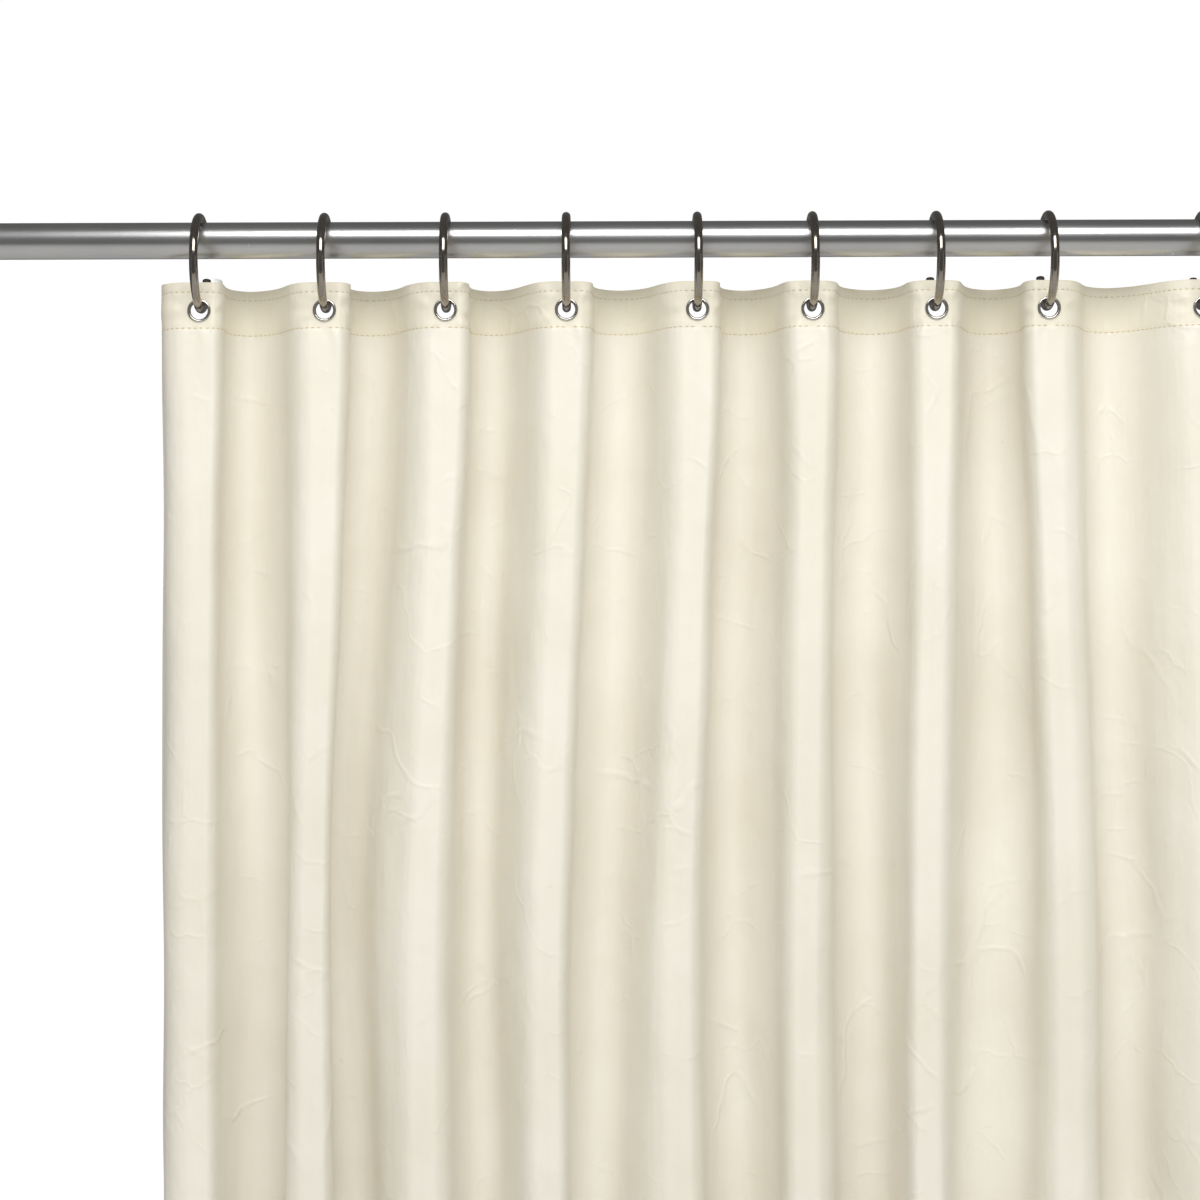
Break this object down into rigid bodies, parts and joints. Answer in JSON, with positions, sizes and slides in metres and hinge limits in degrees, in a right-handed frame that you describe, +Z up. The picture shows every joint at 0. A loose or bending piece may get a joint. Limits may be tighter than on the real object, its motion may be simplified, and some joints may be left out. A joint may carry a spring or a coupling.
{
  "type": "shower curtain",
  "caption": "Bone-coloured vinyl shower curtain in soft pleats, hung by eyelets on open metal rings from a straight round rod between two wall flanges.",
  "frame": {"origin": "on the rod's axis, where it meets the left wall, at the left flange's back face", "axes": "+X along the rod to the right wall, +Y away from the person in front of the curtain, +Z up"},
  "size_m": [1.524, 0.0805, 1.8918],
  "materials": {
    "rod_metal": "satin drawn tube",
    "flange_metal": "satin",
    "screw_steel": "dark plated",
    "ring_nickel": "polished nickel plate",
    "eyelet_nickel": "polished nickel plate, rolled",
    "curtain_vinyl": "soft matt vinyl, fine creases",
    "magnet_ferrite": "dull",
    "label_film": "thin translucent woven film"
  },
  "bodies": {
    "rod": {"rod_tube": "rod_metal", "flange_left": "flange_metal", "flange_right": "flange_metal", "grub_screw_left": "screw_steel", "grub_screw_right": "screw_steel"},
    "hanger_01": {"ring_01": "ring_nickel", "eyelet_01": "eyelet_nickel", "washer_01": "eyelet_nickel", "pleat_01": "curtain_vinyl", "magnet_left": "magnet_ferrite", "care_label": "label_film"},
    "hanger_02": {"ring_02": "ring_nickel", "eyelet_02": "eyelet_nickel", "washer_02": "eyelet_nickel", "pleat_02": "curtain_vinyl"},
    "hanger_03": {"ring_03": "ring_nickel", "eyelet_03": "eyelet_nickel", "washer_03": "eyelet_nickel", "pleat_03": "curtain_vinyl"},
    "hanger_04": {"ring_04": "ring_nickel", "eyelet_04": "eyelet_nickel", "washer_04": "eyelet_nickel", "pleat_04": "curtain_vinyl"},
    "hanger_05": {"ring_05": "ring_nickel", "eyelet_05": "eyelet_nickel", "washer_05": "eyelet_nickel", "pleat_05": "curtain_vinyl"},
    "hanger_06": {"ring_06": "ring_nickel", "eyelet_06": "eyelet_nickel", "washer_06": "eyelet_nickel", "pleat_06": "curtain_vinyl", "magnet_middle": "magnet_ferrite"},
    "hanger_07": {"ring_07": "ring_nickel", "eyelet_07": "eyelet_nickel", "washer_07": "eyelet_nickel", "pleat_07": "curtain_vinyl"},
    "hanger_08": {"ring_08": "ring_nickel", "eyelet_08": "eyelet_nickel", "washer_08": "eyelet_nickel", "pleat_08": "curtain_vinyl"},
    "hanger_09": {"ring_09": "ring_nickel", "eyelet_09": "eyelet_nickel", "washer_09": "eyelet_nickel", "pleat_09": "curtain_vinyl"},
    "hanger_10": {"ring_10": "ring_nickel", "eyelet_10": "eyelet_nickel", "washer_10": "eyelet_nickel", "pleat_10": "curtain_vinyl"},
    "hanger_11": {"ring_11": "ring_nickel", "eyelet_11": "eyelet_nickel", "washer_11": "eyelet_nickel", "pleat_11": "curtain_vinyl"},
    "hanger_12": {"ring_12": "ring_nickel", "eyelet_12": "eyelet_nickel", "washer_12": "eyelet_nickel", "pleat_12": "curtain_vinyl", "magnet_right": "magnet_ferrite"}
  },
  "joints": [
    {"name": "curtain_swing", "type": "hinge", "parent": "rod", "child": "hanger_01", "pos_m": [0, 0, 0], "axis": [1, 0, 0], "range_deg": [-20, 20]},
    {"name": "slide_02", "type": "slide", "parent": "hanger_01", "child": "hanger_02", "axis": [1, 0, 0], "range_m": [-0.036, 0.025], "deforming": ["pleat_01", "pleat_02"]},
    {"name": "slide_03", "type": "slide", "parent": "hanger_02", "child": "hanger_03", "axis": [1, 0, 0], "range_m": [-0.036, 0.025], "deforming": ["pleat_02", "pleat_03"]},
    {"name": "slide_04", "type": "slide", "parent": "hanger_03", "child": "hanger_04", "axis": [1, 0, 0], "range_m": [-0.036, 0.025], "deforming": ["pleat_03", "pleat_04"]},
    {"name": "slide_05", "type": "slide", "parent": "hanger_04", "child": "hanger_05", "axis": [1, 0, 0], "range_m": [-0.036, 0.025], "deforming": ["pleat_04", "pleat_05"]},
    {"name": "slide_06", "type": "slide", "parent": "hanger_05", "child": "hanger_06", "axis": [1, 0, 0], "range_m": [-0.036, 0.025], "deforming": ["pleat_05", "pleat_06"]},
    {"name": "slide_07", "type": "slide", "parent": "hanger_06", "child": "hanger_07", "axis": [1, 0, 0], "range_m": [-0.036, 0.025], "deforming": ["pleat_06", "pleat_07"]},
    {"name": "slide_08", "type": "slide", "parent": "hanger_07", "child": "hanger_08", "axis": [1, 0, 0], "range_m": [-0.036, 0.025], "deforming": ["pleat_07", "pleat_08"]},
    {"name": "slide_09", "type": "slide", "parent": "hanger_08", "child": "hanger_09", "axis": [1, 0, 0], "range_m": [-0.036, 0.025], "deforming": ["pleat_08", "pleat_09"]},
    {"name": "slide_10", "type": "slide", "parent": "hanger_09", "child": "hanger_10", "axis": [1, 0, 0], "range_m": [-0.036, 0.025], "deforming": ["pleat_09", "pleat_10"]},
    {"name": "slide_11", "type": "slide", "parent": "hanger_10", "child": "hanger_11", "axis": [1, 0, 0], "range_m": [-0.036, 0.025], "deforming": ["pleat_10", "pleat_11"]},
    {"name": "slide_12", "type": "slide", "parent": "hanger_11", "child": "hanger_12", "axis": [1, 0, 0], "range_m": [-0.036, 0.025], "deforming": ["pleat_11", "pleat_12"]}
  ],
  "couplings": [
    {"joint": "slide_03", "follows": "slide_02", "ratio": 1},
    {"joint": "slide_04", "follows": "slide_02", "ratio": 1},
    {"joint": "slide_05", "follows": "slide_02", "ratio": 1},
    {"joint": "slide_06", "follows": "slide_02", "ratio": 1},
    {"joint": "slide_07", "follows": "slide_02", "ratio": 1},
    {"joint": "slide_08", "follows": "slide_02", "ratio": 1},
    {"joint": "slide_09", "follows": "slide_02", "ratio": 1},
    {"joint": "slide_10", "follows": "slide_02", "ratio": 1},
    {"joint": "slide_11", "follows": "slide_02", "ratio": 1},
    {"joint": "slide_12", "follows": "slide_02", "ratio": 1}
  ]
}
